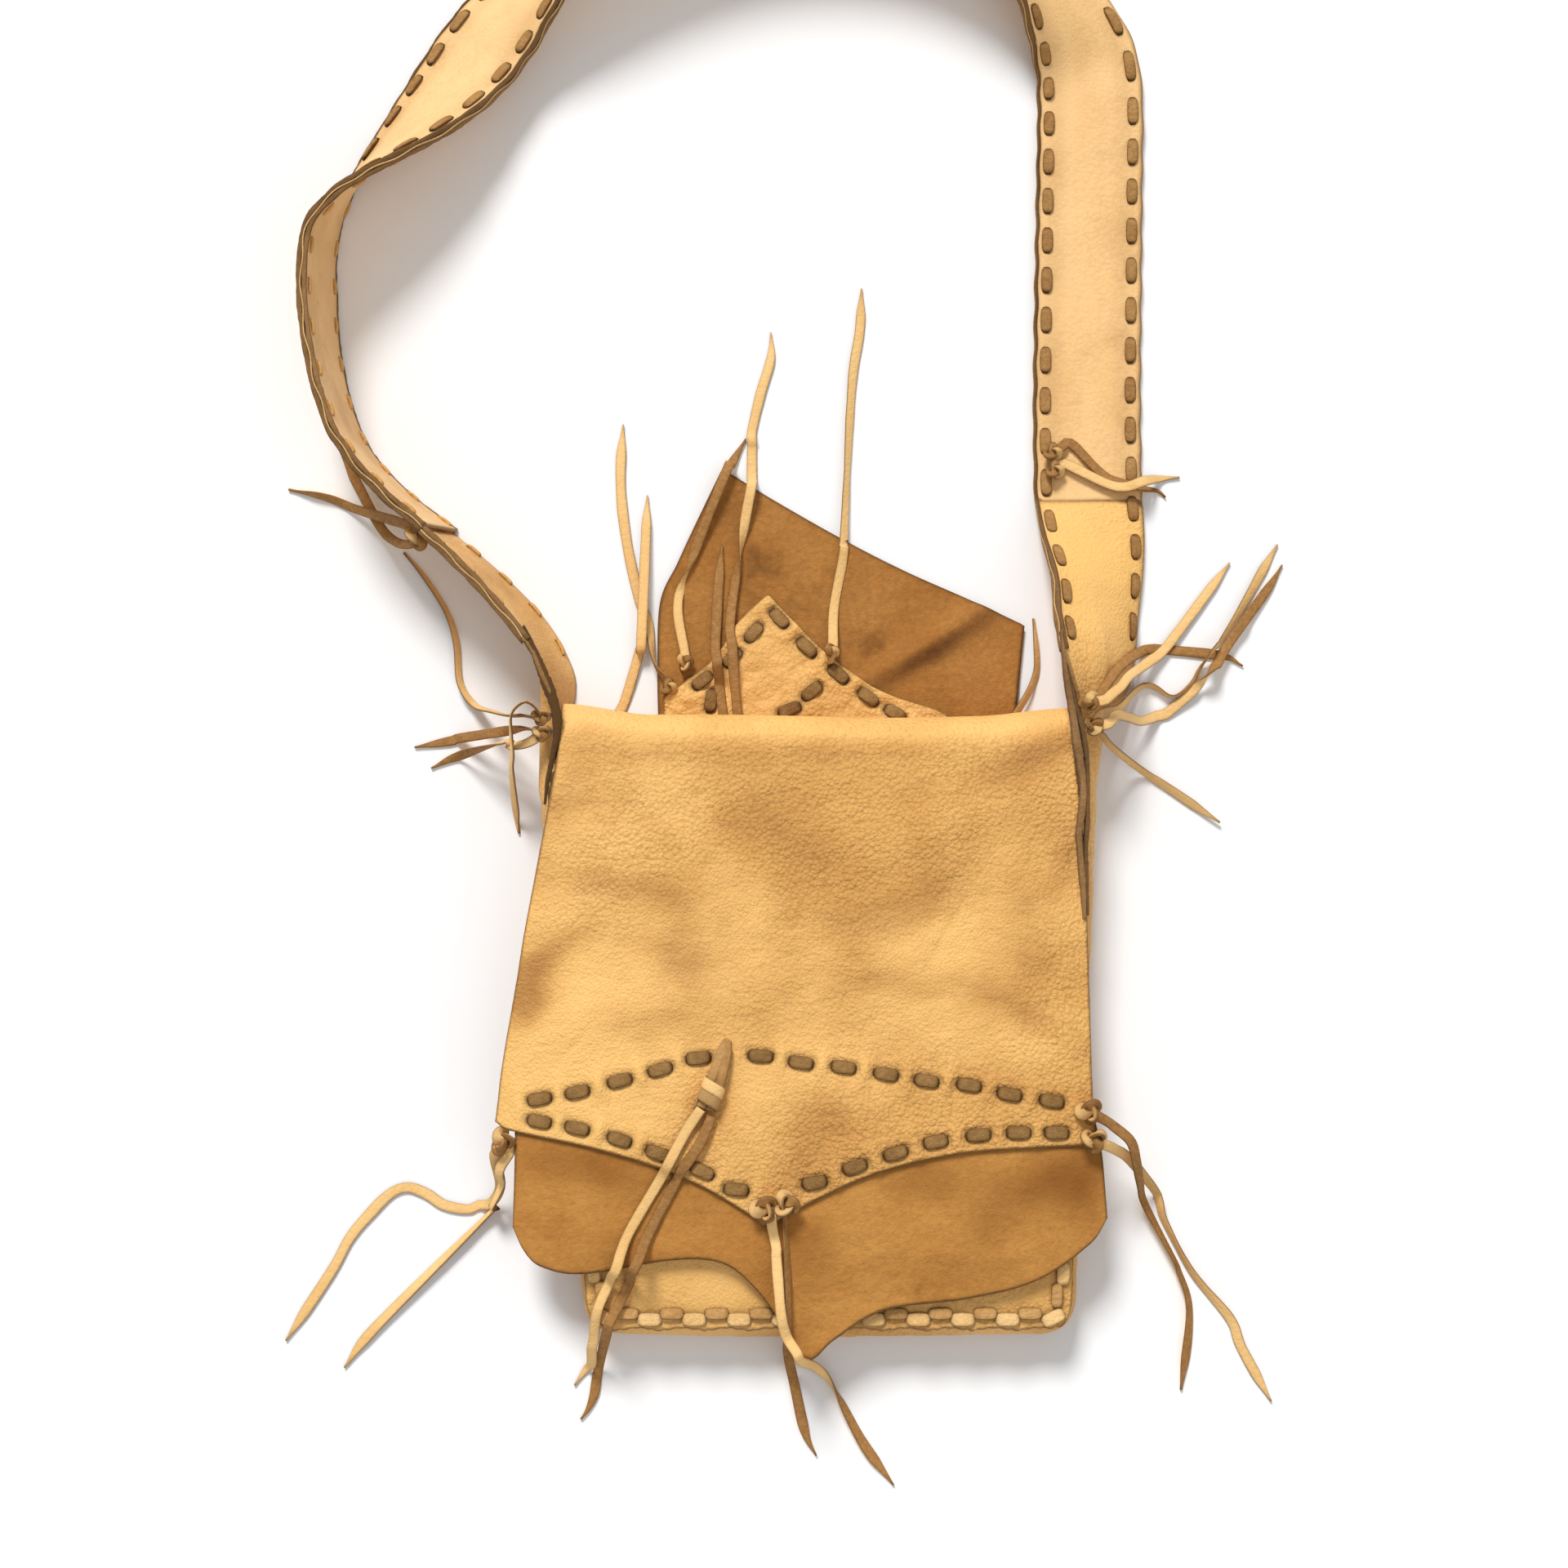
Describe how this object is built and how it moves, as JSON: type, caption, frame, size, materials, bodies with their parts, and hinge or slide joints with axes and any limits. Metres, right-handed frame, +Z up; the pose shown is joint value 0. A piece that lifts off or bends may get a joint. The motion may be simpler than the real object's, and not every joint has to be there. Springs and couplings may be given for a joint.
{
  "type": "leather sling bag",
  "caption": "Handmade laced leather sling bag lying on its back: flat gusseted pouch, V-edged front flap with suede apron, swung-up rear flap, a wide looped strap and loose thong tails",
  "frame": {"origin": "middle of the back panel's underside, on the surface the bag lies on", "axes": "+X to the viewer's right across the pouch, +Y from the pouch's bottom towards its mouth and the strap's loop, +Z up from the resting face through the front flap"},
  "size_m": [0.476, 0.7691, 0.056],
  "materials": {
    "grain": "pale vegetable-tanned grain leather, fine pebbled grain",
    "lace": "brown laces, flesh side out",
    "suede": "brown flesh side, matt suede",
    "thong": "cut thongs, grain side out"
  },
  "bodies": {
    "bag": {"back_panel": "grain", "front_panel": "grain", "gusset": "grain", "strap_outer": "grain", "strap_lining": "grain", "front_seam_lace": "lace", "back_seam_lace": "lace", "corner_knot_left_1": "lace", "corner_knot_left_2": "lace", "corner_knot_right_1": "lace", "corner_knot_right_2": "lace", "joint_knot_left": "lace", "joint_knot_right_1": "lace", "joint_knot_right_2": "lace", "joint_tail_left_1": "thong", "joint_tail_left_2": "thong", "joint_tail_right_1": "thong", "joint_tail_right_2": "thong", "left_tail_1": "thong", "left_tail_2": "thong", "left_tail_3": "thong", "left_tail_4": "thong", "right_tail_1": "thong", "right_tail_2": "thong", "right_tail_3": "thong", "right_tail_4": "thong", "right_tail_5": "thong"},
    "front_flap_body": {"front_flap": "grain", "front_apron": "suede", "flap_lace_upper": "lace", "flap_lace_lower": "lace", "closure_wrap": "lace", "flap_knot_left": "lace", "flap_knot_right_1": "lace", "flap_knot_right_2": "lace", "tip_knot": "lace", "closure_tail_1": "thong", "closure_tail_2": "thong", "flap_tail_left_1": "thong", "flap_tail_left_2": "thong", "flap_tail_right_1": "thong", "flap_tail_right_2": "thong", "tip_tail_1": "thong", "tip_tail_2": "thong", "closure_strand": "thong"},
    "rear_flap_body": {"rear_flap": "grain", "rear_apron": "suede", "rear_lace_right": "lace", "rear_lace_left": "lace", "rear_knot_1": "lace", "rear_knot_2": "lace", "rear_knot_3": "lace", "rear_tail_1": "thong", "rear_tail_2": "thong", "rear_tail_3": "thong", "rear_tail_4": "thong", "rear_tail_5": "thong", "rear_tail_6": "thong", "rear_tail_7": "thong"}
  },
  "joints": [
    {"name": "front_flap_hinge", "type": "hinge", "parent": "bag", "child": "front_flap_body", "pos_m": [0.005, 0.14095, 0.02165], "axis": [-1, 0, 0], "range_deg": [0, 120]},
    {"name": "rear_flap_hinge", "type": "hinge", "parent": "bag", "child": "rear_flap_body", "pos_m": [0.015, 0.131, 0.0026], "axis": [1, 0, 0], "range_deg": [-160, 0]}
  ]
}
